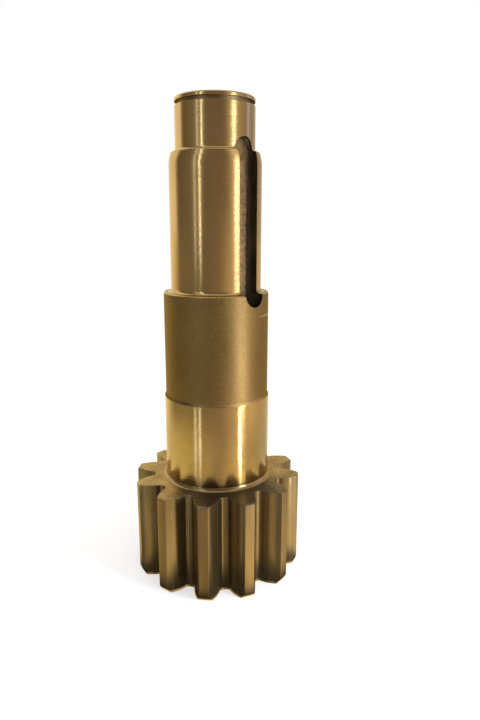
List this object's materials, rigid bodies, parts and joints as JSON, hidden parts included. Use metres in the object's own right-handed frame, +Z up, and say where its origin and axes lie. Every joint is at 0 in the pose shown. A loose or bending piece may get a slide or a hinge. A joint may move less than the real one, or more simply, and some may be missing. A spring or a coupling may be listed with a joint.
{
  "type": "pinion shaft",
  "caption": "Spur pinion cut on the foot of a stepped steel shaft, with a bearing journal, a plain collar, a keyed hub seat and an end journal grooved for a retaining ring.",
  "frame": {"origin": "centre of the pinion's end face, which the shaft stands on", "axes": "+Z up the shaft's axis from the pinion to the end journal, keyway facing -Y"},
  "size_m": [0.146, 0.146, 0.3976],
  "materials": {
    "machined_steel": "turned and ground steel, oiled"
  },
  "bodies": {
    "root": {"pinion_shaft": "machined_steel"}
  },
  "joints": []
}
